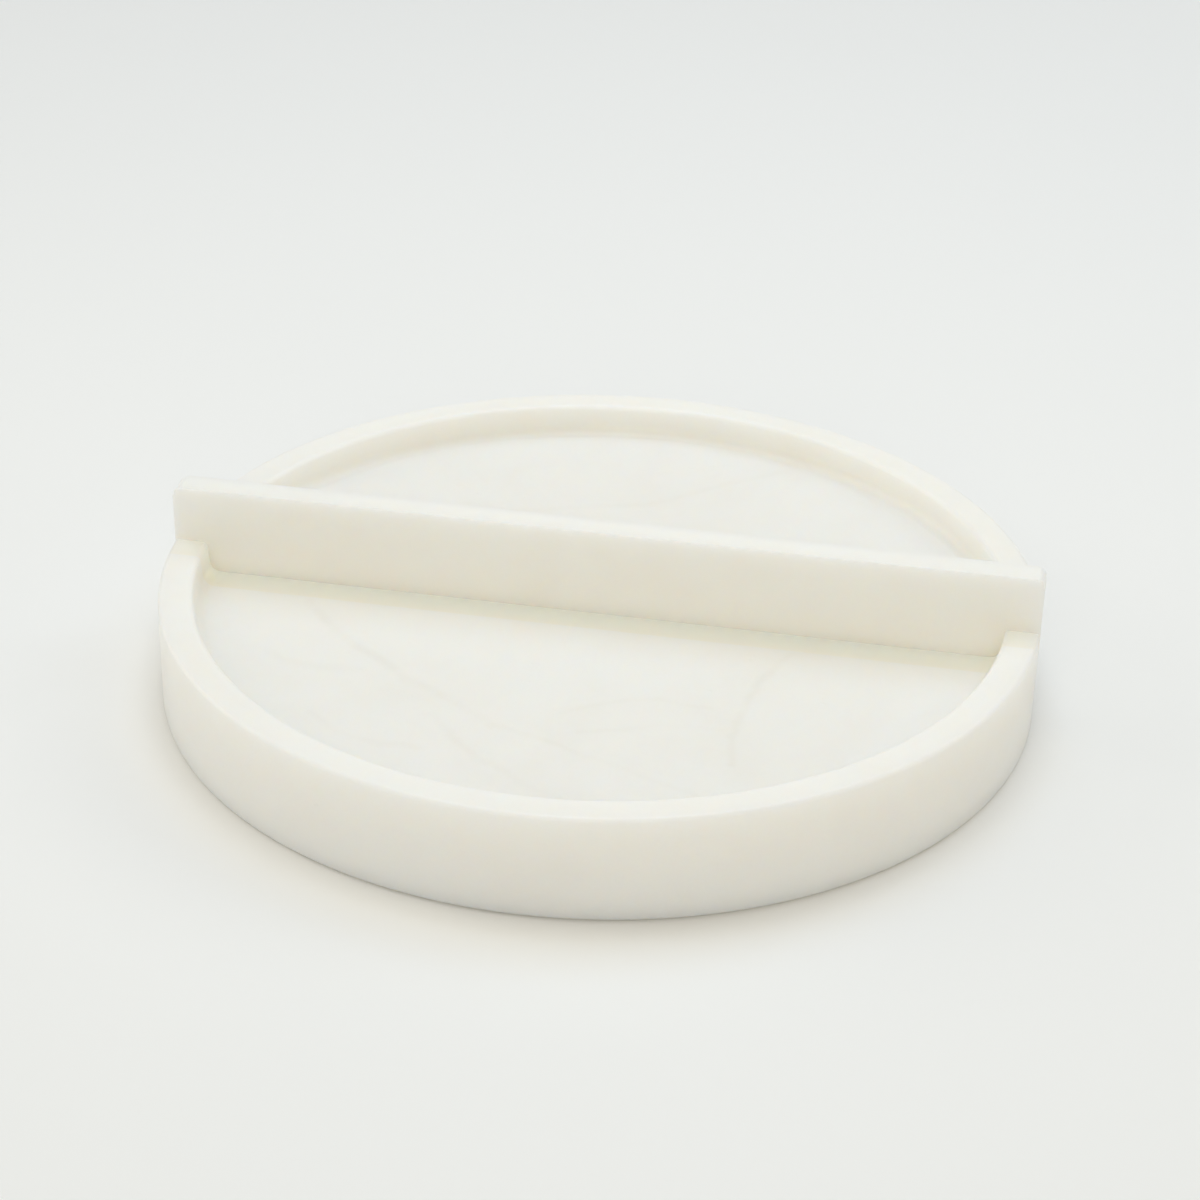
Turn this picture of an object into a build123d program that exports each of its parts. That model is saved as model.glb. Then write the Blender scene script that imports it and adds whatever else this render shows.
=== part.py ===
"""Round stone tray with a sunk floor, a low raised rim and an upright bar across its full width.

The tray body is a turned disc. The bar is a slab on edge that crosses the disc through its centre:
its underside stands on the floor and is scribed over the rim at both ends. It is bonded to the tray
along its underside and located by two hidden pins. Four pads are let into the tray's underside.

Millimetres. The origin is the centre of the base, on the surface that the tray stands on, +Z is up
and the bar lies along X.
"""

import os

from build123d import *

# Tray body
TRAY_RADIUS = 150.0
RIM_TOP = 37.0
RIM_WIDTH = 11.7
RECESS_DEPTH = 11.0
WALL_DRAFT = 1.0
COVE_RADIUS = 4.0
RIM_INNER_EDGE_RADIUS = 2.0
RIM_OUTER_EDGE_RADIUS = 1.5
BASE_EDGE_RADIUS = 1.0

# Cross bar
BAR_THICKNESS = 10.0
BAR_RISE = 20.0
BAR_END_INSET = 0.1
BAR_TOP_CORNER_RADIUS = 3.0
BAR_EDGE_RADIUS = 0.9

# Locating pins and the bond under the bar
PIN_RADIUS = 2.0
PIN_HOLE_RADIUS = 2.1
PIN_LENGTH = 24.0
PIN_END_GAP = 0.5
PIN_END_CHAMFER = 0.4
PIN_OFFSET = 90.0
BOND_LENGTH = 240.0
BOND_WIDTH = 6.0
BOND_DEPTH = 0.5

# Pads
PAD_RADIUS = 10.0
PAD_THICKNESS = 2.0
PAD_PROUD = 0.5
PAD_SEAT_RADIUS = 10.2
PAD_RING_RADIUS = 105.0
PAD_EDGE_RADIUS = 0.3

# Worked out from the above
TRAY_BASE = PAD_PROUD
FLOOR_TOP = RIM_TOP - RECESS_DEPTH
RIM_INNER_RADIUS = TRAY_RADIUS - RIM_WIDTH
WALL_FOOT_RADIUS = RIM_INNER_RADIUS - WALL_DRAFT
BAR_TOP = RIM_TOP + BAR_RISE
BAR_HEIGHT = BAR_TOP - FLOOR_TOP
BAR_HALF_LENGTH = TRAY_RADIUS - BAR_END_INSET
PIN_HOLE_DEPTH = PIN_LENGTH / 2 + PIN_END_GAP
PIN_PLACES = {"left": (-PIN_OFFSET, 0), "right": (PIN_OFFSET, 0)}
PAD_REACH = PAD_RING_RADIUS / 2**0.5
PAD_PLACES = {
    "front_left": (-PAD_REACH, -PAD_REACH),
    "front_right": (PAD_REACH, -PAD_REACH),
    "rear_left": (-PAD_REACH, PAD_REACH),
    "rear_right": (PAD_REACH, PAD_REACH),
}


def write(part, name):
    """Labels a finished piece and writes it under its own name."""
    part.label = name
    export_step(part, f"parts/{name}.step")


os.makedirs("parts", exist_ok=True)

# Tray body: half a section turned about the upright axis, with the pin holes bored down into the
# floor and the pad seats sunk into the underside.
with BuildPart() as tray_body:
    with BuildSketch(Plane.XZ):
        with BuildLine():
            FilletPolyline(
                (0, TRAY_BASE),
                (TRAY_RADIUS, TRAY_BASE),
                (TRAY_RADIUS, RIM_TOP),
                (RIM_INNER_RADIUS, RIM_TOP),
                (WALL_FOOT_RADIUS, FLOOR_TOP),
                (0, FLOOR_TOP),
                radius=[BASE_EDGE_RADIUS, RIM_OUTER_EDGE_RADIUS, RIM_INNER_EDGE_RADIUS, COVE_RADIUS],
            )
            Line((0, FLOOR_TOP), (0, TRAY_BASE))
        make_face()
    revolve(axis=Axis.Z)
    with BuildSketch(Plane.XY.offset(FLOOR_TOP)):
        with Locations(*PIN_PLACES.values()):
            Circle(PIN_HOLE_RADIUS)
    extrude(amount=-PIN_HOLE_DEPTH, mode=Mode.SUBTRACT)
    with BuildSketch(Plane.XY.offset(TRAY_BASE)):
        with Locations(*PAD_PLACES.values()):
            Circle(PAD_SEAT_RADIUS)
    extrude(amount=PAD_THICKNESS - PAD_PROUD, mode=Mode.SUBTRACT)
write(tray_body.part, "tray_body")

# Cross bar: an upright slab with rounded top corners and softened edges, from which the tray's own
# shape is cut away, so that its ends fit over the rim. The underside has a shallow bed for the bond
# and a blind hole for each pin.
with BuildPart() as cross_bar:
    with BuildSketch(Plane.XZ.offset(-BAR_THICKNESS / 2)) as bar_side:
        with Locations((0, FLOOR_TOP)):
            Rectangle(2 * BAR_HALF_LENGTH, BAR_HEIGHT, align=(Align.CENTER, Align.MIN))
        fillet(bar_side.vertices().group_by(Axis.Y)[-1], BAR_TOP_CORNER_RADIUS)
    extrude(amount=BAR_THICKNESS)
    side_edges = cross_bar.faces().filter_by(Axis.Y).edges()
    fillet(side_edges.filter_by(lambda edge: edge.center().Z > FLOOR_TOP), BAR_EDGE_RADIUS)
    add(tray_body.part, mode=Mode.SUBTRACT)
    with BuildSketch(Plane.XY.offset(FLOOR_TOP)):
        Rectangle(BOND_LENGTH, BOND_WIDTH)
    extrude(amount=BOND_DEPTH, mode=Mode.SUBTRACT)
    with BuildSketch(Plane.XY.offset(FLOOR_TOP)):
        with Locations(*PIN_PLACES.values()):
            Circle(PIN_HOLE_RADIUS)
    extrude(amount=PIN_HOLE_DEPTH, mode=Mode.SUBTRACT)
write(cross_bar.part, "cross_bar")

# Adhesive bed: the strip of cured bond that fills the bed under the bar, pierced by the two pins.
with BuildPart() as adhesive_bed:
    with BuildSketch(Plane.XY.offset(FLOOR_TOP)):
        Rectangle(BOND_LENGTH, BOND_WIDTH)
        with Locations(*PIN_PLACES.values()):
            Circle(PIN_HOLE_RADIUS, mode=Mode.SUBTRACT)
    extrude(amount=BOND_DEPTH)
write(adhesive_bed.part, "adhesive_bed")


def locating_pin(place):
    """A plain dowel, half in the tray and half in the bar."""
    with BuildPart() as pin:
        with BuildSketch(Plane.XY.offset(FLOOR_TOP - PIN_LENGTH / 2)):
            with Locations(place):
                Circle(PIN_RADIUS)
        extrude(amount=PIN_LENGTH)
        chamfer(pin.edges(), PIN_END_CHAMFER)
    return pin.part


for side, place in PIN_PLACES.items():
    write(locating_pin(place), f"locating_pin_{side}")


def foot_pad(place):
    """A round pad that fills its seat and stands slightly proud of the tray's underside."""
    with BuildPart() as pad:
        with BuildSketch(Plane.XY):
            with Locations(place):
                Circle(PAD_RADIUS)
        extrude(amount=PAD_THICKNESS)
        fillet(pad.edges().group_by(Axis.Z)[0], PAD_EDGE_RADIUS)
    return pad.part


for corner, place in PAD_PLACES.items():
    write(foot_pad(place), f"foot_pad_{corner}")
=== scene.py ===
"""Looks of a round alabaster tray with an upright bar across it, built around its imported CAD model.

Metres, in the row frame: +Z up, the origin on the table under the tray's centre, the bar along X.
"""
import math

import bmesh
import bpy
from mathutils import Matrix, Quaternion, Vector, noise


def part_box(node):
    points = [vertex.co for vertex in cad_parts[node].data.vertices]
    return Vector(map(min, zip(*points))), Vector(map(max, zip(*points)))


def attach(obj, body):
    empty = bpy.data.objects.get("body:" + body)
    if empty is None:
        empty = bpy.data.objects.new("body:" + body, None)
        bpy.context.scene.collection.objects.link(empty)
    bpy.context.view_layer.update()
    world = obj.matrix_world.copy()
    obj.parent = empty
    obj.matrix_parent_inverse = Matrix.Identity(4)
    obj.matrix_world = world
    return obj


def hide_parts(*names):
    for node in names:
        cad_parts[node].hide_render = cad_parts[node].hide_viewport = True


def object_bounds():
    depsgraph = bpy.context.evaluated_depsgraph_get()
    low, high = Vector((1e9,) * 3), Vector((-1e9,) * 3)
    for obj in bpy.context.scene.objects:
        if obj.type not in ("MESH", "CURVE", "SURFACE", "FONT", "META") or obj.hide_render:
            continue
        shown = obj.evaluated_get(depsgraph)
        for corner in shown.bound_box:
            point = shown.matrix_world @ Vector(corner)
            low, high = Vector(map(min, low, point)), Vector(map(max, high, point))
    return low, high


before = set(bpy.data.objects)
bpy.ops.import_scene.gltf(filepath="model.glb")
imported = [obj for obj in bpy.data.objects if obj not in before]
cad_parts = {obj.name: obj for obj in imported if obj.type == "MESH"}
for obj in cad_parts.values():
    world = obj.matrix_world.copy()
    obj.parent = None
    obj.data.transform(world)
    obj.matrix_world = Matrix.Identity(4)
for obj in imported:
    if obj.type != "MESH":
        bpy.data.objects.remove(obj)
cad_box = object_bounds()

MM = 0.001

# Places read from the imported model
tray_low, tray_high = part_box("tray_body")
bar_low, bar_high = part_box("cross_bar")
TRAY_RADIUS = tray_high.x
TRAY_BASE = tray_low.z
RIM_TOP = tray_high.z
FLOOR_TOP = bar_low.z
BAR_TOP = bar_high.z
BAR_HALF_LENGTH = bar_high.x
BAR_HALF_THICKNESS = bar_high.y
pad_nodes = sorted(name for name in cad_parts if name.startswith("foot_pad"))

# The section's own sizes, as in the CAD model
RIM_WIDTH = 11.7 * MM
WALL_DRAFT = 1.0 * MM
COVE_RADIUS = 4.0 * MM
RIM_INNER_EDGE_RADIUS = 2.0 * MM
RIM_OUTER_EDGE_RADIUS = 1.5 * MM
BASE_EDGE_RADIUS = 1.0 * MM
BAR_TOP_CORNER_RADIUS = 3.0 * MM
BAR_EDGE_RADIUS = 0.9 * MM
PAD_SEAT_CLEARANCE = 0.2 * MM
PAD_EDGE_RADIUS = 0.5 * MM

# How far the bar's underside reaches into the tray's floor before the two become one solid
BAR_BEDDING = 1.0 * MM

# Mesh fineness
TRAY_TURNS = 320
PAD_TURNS = 64
ARC_STEPS = 8
BAR_EDGE_STEPS = 6
RING_SPACING = 4 * MM
PAD_RING_SPACING = 1 * MM

# How far the finished surfaces wander below their nominal ones
TRAY_WAVER = 0.12 * MM
PAD_WAVER = 0.08 * MM

# Edges that turn by more than this stay crisp in the shading
SHARP_ANGLE = math.radians(40)

# The bar is cut from another part of the block, so its clouds and veins are looked up elsewhere
BAR_FIGURE_SHIFT = (0.31, 0.17, 0.05)


# ---------------------------------------------------------------- outlines and meshes


def divided(line, spacing):
    """The same line with its long runs cut into stretches of at most spacing."""
    points = [line[0]]
    for start, end in zip(line, line[1:]):
        count = max(1, math.ceil((end - start).length / spacing))
        points += [start.lerp(end, step / count) for step in range(1, count + 1)]
    return points


def rounded(corners):
    """Points along a line of (x, z, radius) corners, each inner corner turned by an arc."""
    line = [Vector(corners[0][:2])]
    for before, here, after in zip(corners, corners[1:], corners[2:]):
        corner, radius = Vector(here[:2]), here[2]
        back = (Vector(before[:2]) - corner).normalized()
        ahead = (Vector(after[:2]) - corner).normalized()
        half_angle = back.angle(ahead) / 2
        centre = corner + (back + ahead).normalized() * radius / math.sin(half_angle)
        reach = radius / math.tan(half_angle)
        start = corner + back * reach - centre
        sweep = start.angle_signed(corner + ahead * reach - centre)
        for step in range(ARC_STEPS + 1):
            line.append(centre + Matrix.Rotation(-sweep * step / ARC_STEPS, 2) @ start)
    line.append(Vector(corners[-1][:2]))
    return line


def finished(name, mesh):
    """The mesh as a smooth-shaded object, with its faces turned outwards."""
    bmesh.ops.recalc_face_normals(mesh, faces=mesh.faces)
    data = bpy.data.meshes.new(name)
    mesh.to_mesh(data)
    mesh.free()
    data.shade_smooth()
    piece = bpy.data.objects.new(name, data)
    bpy.context.scene.collection.objects.link(piece)
    return piece


def lathe(name, line, turns, centre=(0, 0)):
    """A closed solid of revolution about an upright axis. The line runs from axis to axis."""
    mesh = bmesh.new()
    rings = []
    for radius, height in line:
        angles = [2 * math.pi * turn / turns for turn in range(turns if radius > 0 else 1)]
        places = [(centre[0] + radius * math.cos(a), centre[1] + radius * math.sin(a)) for a in angles]
        rings.append([mesh.verts.new((x, y, height)) for x, y in places])
    for low, high in zip(rings, rings[1:]):
        for turn in range(turns):
            corners = [low[turn % len(low)], low[(turn + 1) % turns % len(low)]]
            corners += [high[(turn + 1) % turns % len(high)], high[turn % len(high)]]
            mesh.faces.new(dict.fromkeys(corners))
    return finished(name, mesh)


def sink(piece, depth, frequency, above=-1.0):
    """Moves the surface inwards unevenly, by at most depth, everywhere above a height."""
    normals = [vertex.normal.copy() for vertex in piece.data.vertices]
    for vertex, normal in zip(piece.data.vertices, normals):
        if vertex.co.z > above:
            share = 0.5 + 0.5 * noise.noise(vertex.co * frequency)
            vertex.co -= normal * depth * min(max(share, 0), 1)


def combine(piece, operation, other):
    """Joins another solid to a piece, or cuts it out of the piece, and removes the other object."""
    modifier = piece.modifiers.new("combine", "BOOLEAN")
    modifier.operation = operation
    modifier.solver = "EXACT"
    modifier.object = other
    evaluated = piece.evaluated_get(bpy.context.evaluated_depsgraph_get())
    data = bpy.data.meshes.new_from_object(evaluated)
    piece.modifiers.clear()
    piece.data = data
    bpy.data.objects.remove(other)


rim_inner = TRAY_RADIUS - RIM_WIDTH
tray_section = [
    (0, TRAY_BASE, 0),
    (TRAY_RADIUS, TRAY_BASE, BASE_EDGE_RADIUS),
    (TRAY_RADIUS, RIM_TOP, RIM_OUTER_EDGE_RADIUS),
    (rim_inner, RIM_TOP, RIM_INNER_EDGE_RADIUS),
    (rim_inner - WALL_DRAFT, FLOOR_TOP, COVE_RADIUS),
    (0, FLOOR_TOP, 0),
]


def make_tray():
    """The turned disc, with seats for its pads and a polisher's waver seen only in highlights."""
    tray = lathe("tray", divided(rounded(tray_section), RING_SPACING), TRAY_TURNS)
    sink(tray, TRAY_WAVER, 22, above=TRAY_BASE + BASE_EDGE_RADIUS)
    for node in pad_nodes:
        low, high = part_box(node)
        radius = (high.x - low.x) / 2 + PAD_SEAT_CLEARANCE
        seat = [
            Vector((0, -high.z)),
            Vector((radius, -high.z)),
            Vector((radius, high.z)),
            Vector((0, high.z)),
        ]
        combine(tray, "DIFFERENCE", lathe("seat", seat, PAD_TURNS, (low + high) / 2))
    return tray


def make_bar():
    """The upright slab, with feet that go a little way into the tray's floor and rim."""
    deep = rim_inner + RIM_INNER_EDGE_RADIUS
    top = rounded([
        (0, BAR_TOP, 0),
        (BAR_HALF_LENGTH, BAR_TOP, BAR_TOP_CORNER_RADIUS),
        (BAR_HALF_LENGTH, RIM_TOP - RIM_OUTER_EDGE_RADIUS, 0),
    ])
    foot = [
        Vector((deep, RIM_TOP - RIM_OUTER_EDGE_RADIUS)),
        Vector((deep, FLOOR_TOP - BAR_BEDDING)),
    ]
    right = top[1:] + foot
    outline = right + [Vector((-point.x, point.y)) for point in reversed(right)]
    mesh = bmesh.new()
    front = [mesh.verts.new((point.x, -BAR_HALF_THICKNESS, point.y)) for point in outline]
    back = [mesh.verts.new((point.x, BAR_HALF_THICKNESS, point.y)) for point in outline]
    mesh.faces.new(front)
    mesh.faces.new(reversed(back))
    for index in range(len(outline)):
        after = (index + 1) % len(outline)
        mesh.faces.new((front[index], back[index], back[after], front[after]))
    softened = []
    for edge in mesh.edges:
        start, end = (vertex.co for vertex in edge.verts)
        clear = min(start.z, end.z) > RIM_TOP or min(abs(start.x), abs(end.x)) >= BAR_HALF_LENGTH
        if start.y == end.y and clear:
            softened.append(edge)
    bmesh.ops.bevel(
        mesh,
        geom=softened,
        offset=BAR_EDGE_RADIUS,
        segments=BAR_EDGE_STEPS,
        profile=0.5,
        affect="EDGES",
    )
    return finished("bar", mesh)


def make_stone():
    """Tray and bar as one body, so that light crosses the joint as if it weren't there."""
    stone = make_tray()
    stone.name = "stone"
    bar = make_bar()
    bar.data.polygons.foreach_set("material_index", [1] * len(bar.data.polygons))
    combine(stone, "UNION", bar)
    # The tray's material carries a warm band painted along the bar's foot, with painted light at the
    # foot
    stone.data.materials.append(alabaster("alabaster_tray", with_foot_band=True))
    stone.data.materials.append(alabaster("alabaster_bar", shift=BAR_FIGURE_SHIFT))
    stone.data.set_sharp_from_angle(angle=SHARP_ANGLE)
    stone.modifiers.new("even_shading", "WEIGHTED_NORMAL").keep_sharp = True
    return stone


def make_pad(node):
    """A round felt pad, its cut edge rounded over and its faces slightly uneven."""
    low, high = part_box(node)
    radius = (high.x - low.x) / 2
    section = [
        (0, low.z, 0),
        (radius, low.z, PAD_EDGE_RADIUS),
        (radius, high.z, PAD_EDGE_RADIUS),
        (0, high.z, 0),
    ]
    line = divided(rounded(section), PAD_RING_SPACING)
    pad = lathe(node + "_felt", line, PAD_TURNS, (low + high) / 2)
    sink(pad, PAD_WAVER, 400)
    return pad


# ---------------------------------------------------------------- materials


class Surface:
    """A material under construction: short calls that add nodes and return their outputs."""

    def __init__(self, name):
        self.material = bpy.data.materials.new(name)
        self.material.use_nodes = True
        self.tree = self.material.node_tree
        self.shader = self.tree.nodes["Principled BSDF"]
        self.place = self.node("TexCoord").outputs["Object"]

    def node(self, kind, **settings):
        made = self.tree.nodes.new("ShaderNode" + kind)
        for key, value in settings.items():
            setattr(made, key, value)
        return made

    def put(self, socket, value):
        """Links an output to a socket, or sets the socket to a plain value."""
        if isinstance(value, bpy.types.NodeSocket):
            self.tree.links.new(value, socket)
        else:
            socket.default_value = value

    def maths(self, operation, *values, clamp=False):
        made = self.node("Math", operation=operation, use_clamp=clamp)
        for socket, value in zip(made.inputs, values):
            self.put(socket, value)
        return made.outputs[0]

    def vectors(self, operation, *values, output="Vector", scale=None):
        made = self.node("VectorMath", operation=operation)
        for socket, value in zip(made.inputs, values):
            self.put(socket, value)
        if scale is not None:
            self.put(made.inputs["Scale"], scale)
        return made.outputs[output]

    def noise(self, scale, place=None, detail=3.0, roughness=0.5, distortion=0.0, output="Fac"):
        made = self.node("TexNoise")
        self.put(made.inputs["Vector"], self.place if place is None else place)
        made.inputs["Scale"].default_value = scale
        made.inputs["Detail"].default_value = detail
        made.inputs["Roughness"].default_value = roughness
        made.inputs["Distortion"].default_value = distortion
        return made.outputs[output]

    def ramp(self, value, low, high, to_low=0.0, to_high=1.0):
        """A smooth step from to_low, at low, to to_high, at high."""
        made = self.node("MapRange", interpolation_type="SMOOTHSTEP")
        for socket, given in zip(made.inputs, (value, low, high, to_low, to_high)):
            self.put(socket, given)
        return made.outputs["Result"]

    def mix(self, share, first, second):
        made = self.node("Mix", data_type="RGBA")
        self.put(made.inputs["Factor"], share)
        self.put(made.inputs["A"], first)
        self.put(made.inputs["B"], second)
        return made.outputs["Result"]

    def bump(self, height, depth, strength=1.0, under=None):
        made = self.node("Bump")
        made.inputs["Strength"].default_value = strength
        made.inputs["Distance"].default_value = depth
        self.put(made.inputs["Height"], height)
        if under is not None:
            self.put(made.inputs["Normal"], under)
        return made.outputs["Normal"]

    def set(self, **inputs):
        """Sets the shader's inputs; an underscore in a name stands for a space."""
        for key, value in inputs.items():
            self.put(self.shader.inputs[key.replace("_", " ")], value)


# The darker veins where they cross the tray's floor, judged to the nearest centimetre and
# given in millimetres from its centre: start, end, how far the middle bows to the left of the way
# from start to end, width and strength. They are sheets that lean as they go down through the stone.
VEINS = [
    ((-100, -20), (-20, -80), -5, 3.5, 1.0),
    ((-20, -80), (50, -110), 0, 2.5, 0.8),
    ((-40, -80), (20, -130), -5, 3.0, 0.8),
    ((0, -70), (50, -60), 5, 2.0, 0.5),
    ((10, -80), (60, -70), 0, 2.0, 0.5),
    ((70, -20), (60, -90), -5, 2.5, 1.0),
    ((-80, -90), (-40, -100), -5, 2.5, 0.5),
    ((-110, -50), (-70, -60), -5, 4.0, 0.5),
    ((-110, 50), (50, 120), -20, 3.0, 0.5),
    ((20, 20), (100, 60), 5, 2.0, 0.4),
]
VEIN_RUNS = 3
VEIN_LEAN = Vector((0.55, 0.35, 0.0))

# How round a vein's bends are, and the soft haze beside it, as shares of its width and strength
VEIN_BLEND = 2 * MM
HAZE_SPREAD = 7
HAZE_STRENGTH = 0.45

# How far light goes into the stone
LIGHT_DEPTH = 10 * MM

# A warm band painted on the tray along the bar's front foot, over rim, wall and floor, lighter at the
# foot, where it is painted light that lifts
# the shade of the corner: its width, half the width of its edge, and how much further light goes
# inside the band
FOOT_BAND_WIDTH = 10.8 * MM
FOOT_BAND_EDGE = 0.5 * MM
FOOT_BAND_EXTRA_DEPTH = 20 * MM


def distance_to_run(surface, place, start, end):
    """How far a place is from the straight run between two points, seen from above."""
    along = end - start
    offset = surface.vectors("SUBTRACT", place, start)
    share = surface.vectors("DOT_PRODUCT", offset, along / along.length_squared, output="Value")
    share = surface.maths("ADD", share, 0.0, clamp=True)
    nearest = surface.vectors("SCALE", tuple(along), scale=share)
    return surface.vectors("DISTANCE", offset, nearest, output="Value")


def bowed(start, end, bow):
    """Points from start to end along a shallow arch that is bow high in its middle."""
    left = Vector((start.y - end.y, end.x - start.x, 0)).normalized()
    shares = [step / VEIN_RUNS for step in range(VEIN_RUNS + 1)]
    return [start.lerp(end, share) + left * bow * 4 * share * (1 - share) for share in shares]


def vein_mask(surface, warped):
    """How much vein there is at a place: 1 in the middle of the strongest."""
    total = None
    for start, end, bow, width, strength in VEINS:
        points = bowed(Vector((*start, 0)) * MM, Vector((*end, 0)) * MM, bow * MM)
        nearest = None
        for before, after in zip(points, points[1:]):
            distance = distance_to_run(surface, warped, before, after)
            if nearest is None:
                nearest = distance
            else:
                nearest = surface.maths("SMOOTH_MIN", nearest, distance, VEIN_BLEND)
        line = surface.ramp(nearest, 0.0, width * MM, strength, 0.0)
        haze = surface.ramp(nearest, 0.0, HAZE_SPREAD * width * MM, HAZE_STRENGTH * strength, 0.0)
        vein = surface.maths("ADD", line, haze)
        total = vein if total is None else surface.maths("MAXIMUM", total, vein)
    return total


def foot_band(surface):
    """A warm band painted on the tray's top along the bar's front foot, lighter at the foot, where it
    is painted light that lifts the corner's shade: how much, and its colour.
    """
    ahead = surface.vectors("DOT_PRODUCT", surface.place, (0, -1, 0), output="Value")
    height = surface.vectors("DOT_PRODUCT", surface.place, (0, 0, 1), output="Value")
    level = surface.vectors("MULTIPLY", surface.place, (1, 1, 0))
    radius = surface.vectors("LENGTH", level, output="Value")
    edge = BAR_HALF_THICKNESS + FOOT_BAND_WIDTH
    started = surface.ramp(ahead, BAR_HALF_THICKNESS - FOOT_BAND_EDGE, BAR_HALF_THICKNESS)
    unfinished = surface.ramp(ahead, edge - FOOT_BAND_EDGE, edge + FOOT_BAND_EDGE, 1.0, 0.0)
    above = surface.ramp(height, FLOOR_TOP - 2 * FOOT_BAND_EDGE, FLOOR_TOP - FOOT_BAND_EDGE)
    inside = surface.ramp(radius, TRAY_RADIUS - 2 * FOOT_BAND_EDGE, TRAY_RADIUS - FOOT_BAND_EDGE, 1.0, 0.0)
    band = surface.maths("MULTIPLY", started, unfinished)
    share = surface.maths("MULTIPLY", band, surface.maths("MULTIPLY", above, inside))
    # Lighter than the stone's white: painted light that lifts the shade in the corner at the bar's
    # foot
    painted_light_at_foot = (0.998, 0.965, 0.855, 1)
    at_edge = (0.922, 0.885, 0.79, 1)
    return share, surface.mix(surface.ramp(ahead, BAR_HALF_THICKNESS, edge), painted_light_at_foot, at_edge)


def stirred(surface, place, push, reach):
    """A place moved about by a coloured noise, by at most half the reach along each axis."""
    offset = surface.vectors("SUBTRACT", push, (0.5, 0.5, 0.5))
    return surface.vectors("MULTIPLY_ADD", offset, (reach, reach, reach), place)


def alabaster(name, shift=(0.0, 0.0, 0.0), with_foot_band=False):
    """White alabaster: light goes well into it, and it holds soft clouds and faint warm veins."""
    stone = Surface(name)
    place = stone.vectors("ADD", stone.place, shift)
    swirl = stone.noise(14, place, detail=2, output="Color")
    ripple = stone.noise(90, place, detail=3, output="Color")
    warped = stirred(stone, place, swirl, 20 * MM)
    warped = stirred(stone, warped, ripple, 4 * MM)

    # Down through the stone each sheet leans, so it is looked up where it would cross the floor.
    height = stone.vectors("DOT_PRODUCT", warped, (0, 0, 1), output="Value")
    below = stone.maths("SUBTRACT", FLOOR_TOP, height)
    slid = stone.vectors("ADD", warped, stone.vectors("SCALE", tuple(VEIN_LEAN), scale=below))
    flat = stone.vectors("MULTIPLY", slid, (1, 1, 0))

    broken = stone.ramp(stone.noise(45, place, detail=4), 0.35, 0.6, 0.35, 1.0)
    veins = stone.maths("MULTIPLY", vein_mask(stone, flat), broken)
    clouds = stone.ramp(stone.noise(16, warped, detail=5, roughness=0.6, distortion=0.6), 0.42, 0.72)
    wisps = stone.ramp(stone.noise(38, warped, detail=4, roughness=0.55, distortion=1.4), 0.5, 0.78)
    grain = stone.noise(1400, place, detail=2)

    white = (0.925, 0.912, 0.875, 1)
    cloud = (0.895, 0.875, 0.825, 1)
    vein = (0.80, 0.76, 0.68, 1)
    colour = stone.mix(stone.maths("MULTIPLY", clouds, 0.5), white, cloud)
    colour = stone.mix(stone.maths("MULTIPLY", wisps, 0.25), colour, cloud)
    colour = stone.mix(stone.maths("MULTIPLY", veins, 0.22, clamp=True), colour, vein)
    colour = stone.mix(stone.ramp(grain, 0.35, 0.75, 0.0, 0.05), colour, vein)

    depth = LIGHT_DEPTH
    # The tray gets a warm band painted along the bar's front foot, lighter at the foot, where it is
    # painted light that lifts the corner's shade
    if with_foot_band:
        share, painted_band_colour = foot_band(stone)
        colour = stone.mix(share, colour, painted_band_colour)
        depth = stone.maths("MULTIPLY_ADD", share, FOOT_BAND_EXTRA_DEPTH, LIGHT_DEPTH)

    haze = stone.noise(70, place, detail=4)
    roughness = stone.ramp(haze, 0.3, 0.7, 0.3, 0.42)
    pits = stone.ramp(stone.noise(260, place, detail=2, roughness=0.4), 0.74, 0.80)
    waver = stone.bump(stone.noise(30, place, detail=1), 0.3 * MM, 0.35)
    surface = stone.bump(pits, -0.15 * MM, 0.6, waver)
    surface = stone.bump(grain, 0.02 * MM, 0.15, surface)
    stone.set(
        Base_Color=colour,
        Roughness=roughness,
        IOR=1.52,
        Specular_IOR_Level=0.5,
        Subsurface_Weight=1.0,
        Subsurface_Radius=(1.0, 0.9, 0.78),
        Subsurface_Scale=depth,
        Normal=surface,
    )
    return stone.material


def felt():
    """Pressed off-white wool felt: a mat of short fibres with a soft sheen."""
    wool = Surface("wool_felt")
    fibres = wool.noise(2600, detail=4, roughness=0.7, distortion=2.0)
    tufts = wool.noise(500, detail=3)
    colour = wool.mix(wool.ramp(tufts, 0.35, 0.7), (0.70, 0.68, 0.62, 1), (0.84, 0.82, 0.77, 1))
    wool.set(
        Base_Color=wool.mix(wool.ramp(fibres, 0.4, 0.65, 0.0, 0.35), colour, (0.58, 0.55, 0.5, 1)),
        Roughness=0.95,
        Sheen_Weight=0.4,
        Sheen_Roughness=0.5,
        Normal=wool.bump(fibres, 0.25 * MM, 0.8, wool.bump(tufts, 0.3 * MM, 0.5)),
    )
    return wool.material


def ground_steel():
    """Stainless dowel steel, ground round: fine rings about the pin's length."""
    steel = Surface("ground_steel")
    rings = steel.noise(30, steel.vectors("MULTIPLY", steel.place, (1, 1, 160)), detail=2)
    steel.set(
        Base_Color=steel.mix(rings, (0.52, 0.52, 0.53, 1), (0.66, 0.66, 0.67, 1)),
        Metallic=1.0,
        Roughness=steel.ramp(rings, 0.3, 0.7, 0.22, 0.38),
        Normal=steel.bump(rings, 0.01 * MM, 0.5),
    )
    return steel.material


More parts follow.
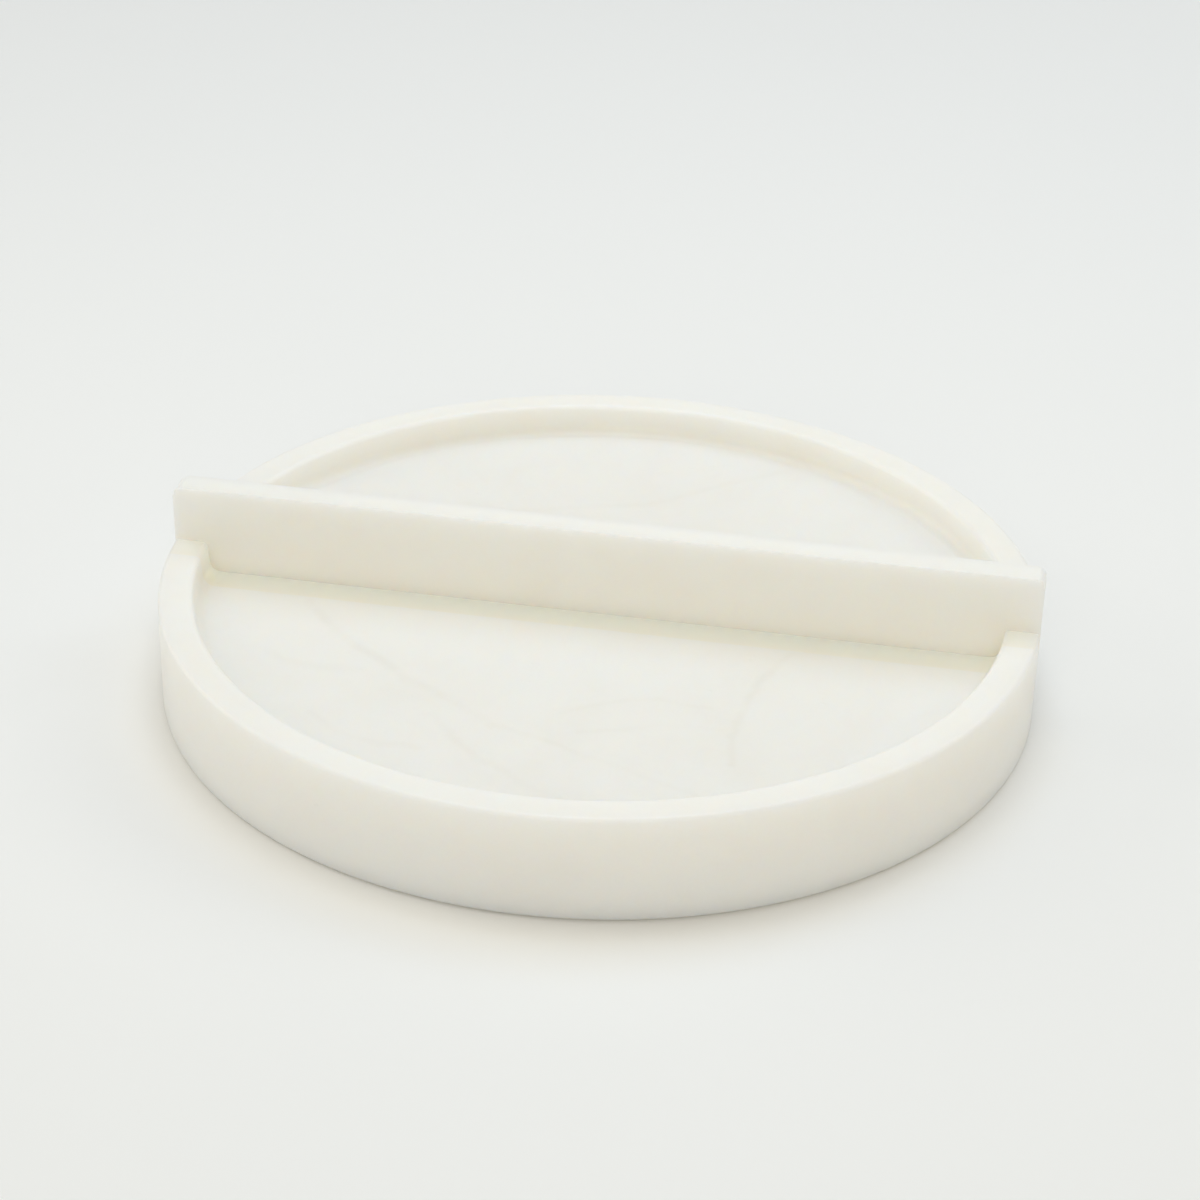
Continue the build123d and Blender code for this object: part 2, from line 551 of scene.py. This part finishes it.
def cured_adhesive():
    """Off-white resin adhesive, with small bubbles and an uneven body."""
    resin = Surface("cured_adhesive")
    body = resin.noise(120, detail=4)
    bubbles = resin.ramp(resin.noise(900, detail=1), 0.7, 0.8)
    resin.set(
        Base_Color=resin.mix(body, (0.80, 0.77, 0.68, 1), (0.90, 0.88, 0.81, 1)),
        Roughness=resin.ramp(body, 0.3, 0.7, 0.35, 0.55),
        Subsurface_Weight=0.5,
        Subsurface_Radius=(1.0, 0.8, 0.5),
        Subsurface_Scale=0.002,
        Normal=resin.bump(bubbles, -0.1 * MM, 0.6),
    )
    return resin.material


def table_top():
    """The plain pale floor: matt white board with the faintest unevenness of tone."""
    board = Surface("pale_floor")
    tone = board.noise(3, detail=2)
    board.set(
        Base_Color=board.mix(tone, (0.912, 0.912, 0.905, 1), (0.927, 0.927, 0.920, 1)),
        Roughness=0.6,
        Specular_IOR_Level=0.25,
        Normal=board.bump(board.noise(700, detail=2), 0.02 * MM, 0.1),
    )
    return board.material


# ---------------------------------------------------------------- pieces

stone = make_stone()
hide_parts("tray_body", "cross_bar")
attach(stone, "root")

wool_felt = felt()
for node in pad_nodes:
    pad = make_pad(node)
    pad.data.materials.append(wool_felt)
    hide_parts(node)
    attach(pad, "root")


def repaint(node, material):
    """Gives a carried-over CAD node its finished material."""
    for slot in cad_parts[node].material_slots:
        slot.material = material


pin_steel = ground_steel()
repaint("locating_pin_left", pin_steel)
repaint("locating_pin_right", pin_steel)
repaint("adhesive_bed", cured_adhesive())


# ---------------------------------------------------------------- floor, light and camera

# From here on sizes are in metres, powers in watts and angles in degrees
FLOOR_REACH = 6.0
floor_mesh = bpy.data.meshes.new("floor")
floor_corners = [(-FLOOR_REACH, -FLOOR_REACH, 0), (FLOOR_REACH, -FLOOR_REACH, 0)]
floor_corners += [(FLOOR_REACH, FLOOR_REACH, 0), (-FLOOR_REACH, FLOOR_REACH, 0)]
floor_mesh.from_pydata(floor_corners, [], [(0, 1, 2, 3)])
floor = bpy.data.objects.new("floor", floor_mesh)
bpy.context.scene.collection.objects.link(floor)
floor_mesh.materials.append(table_top())

centre = (cad_box[0] + cad_box[1]) / 2


def direction(azimuth, elevation):
    """The unit vector from the object towards a place round it. Azimuth 0 is -Y, and 90 is +X."""
    turn, rise = math.radians(azimuth), math.radians(elevation)
    return Vector((math.sin(turn) * math.cos(rise), -math.cos(turn) * math.cos(rise), math.sin(rise)))


def softbox(name, place, size, power, colour):
    """A square soft light that faces the object."""
    light = bpy.data.lights.new(name, "AREA")
    light.shape = "SQUARE"
    light.size = size
    light.energy = power
    light.color = colour
    lamp = bpy.data.objects.new(name, light)
    lamp.location = place
    lamp.rotation_mode = "QUATERNION"
    lamp.rotation_quaternion = (lamp.location - centre).to_track_quat("Z", "Y")
    bpy.context.scene.collection.objects.link(lamp)


SKYLIGHT = (0.60, 0.94, 1.45)
DAYLIGHT = (0.90, 1.00, 1.10)
CREAM = (1.05, 1.03, 0.92)
AMBER = (1.25, 1.08, 0.66)

softbox("overhead", (0.0, 0.0, 1.1), 0.4, 2.0, CREAM)
softbox("back_overhead", (0.0, 0.9, 2.0), 1.2, 5.5, SKYLIGHT)
softbox("back_right", (1.2, 1.2, 1.6), 1.2, 7.5, DAYLIGHT)
softbox("back_low", (0.0, 2.4, 0.7), 1.6, 3.0, AMBER)
softbox("left_high", (-1.1, 0.2, 1.9), 1.2, 4.5, CREAM)
softbox("left_low", (-2.0, 0.2, 0.9), 1.4, 8.0, CREAM)
softbox("right_low", (2.0, 0.2, 0.9), 1.4, 3.5, AMBER)
softbox("front_low", (0.2, -2.3, 1.1), 1.4, 11.0, CREAM)

ROOM_LIGHT = 0.35
room = bpy.data.worlds.new("room")
room.use_nodes = True
room.node_tree.nodes["Background"].inputs["Color"].default_value = (1.05, 1.01, 0.94, 1)
room.node_tree.nodes["Background"].inputs["Strength"].default_value = ROOM_LIGHT
bpy.context.scene.world = room

CAMERA_AZIMUTH = 9.9
CAMERA_ELEVATION = 28.95
CAMERA_DISTANCE = 0.988
CAMERA_ROLL = 1.5
camera = bpy.data.objects.new("camera", bpy.data.cameras.new("camera"))
camera.data.lens = 86.3
camera.data.sensor_width = 36.0
camera.data.clip_start = 0.05
towards = direction(CAMERA_AZIMUTH, CAMERA_ELEVATION)
camera.location = centre + towards * CAMERA_DISTANCE
camera.rotation_mode = "QUATERNION"
roll = Quaternion((0, 0, 1), math.radians(CAMERA_ROLL))
camera.rotation_quaternion = towards.to_track_quat("Z", "Y") @ roll
bpy.context.scene.collection.objects.link(camera)
bpy.context.scene.camera = camera
bpy.context.scene.view_settings.view_transform = "Standard"
# Light bounces many times between white stone and white board before it fades
bpy.context.scene.cycles.diffuse_bounces = 12
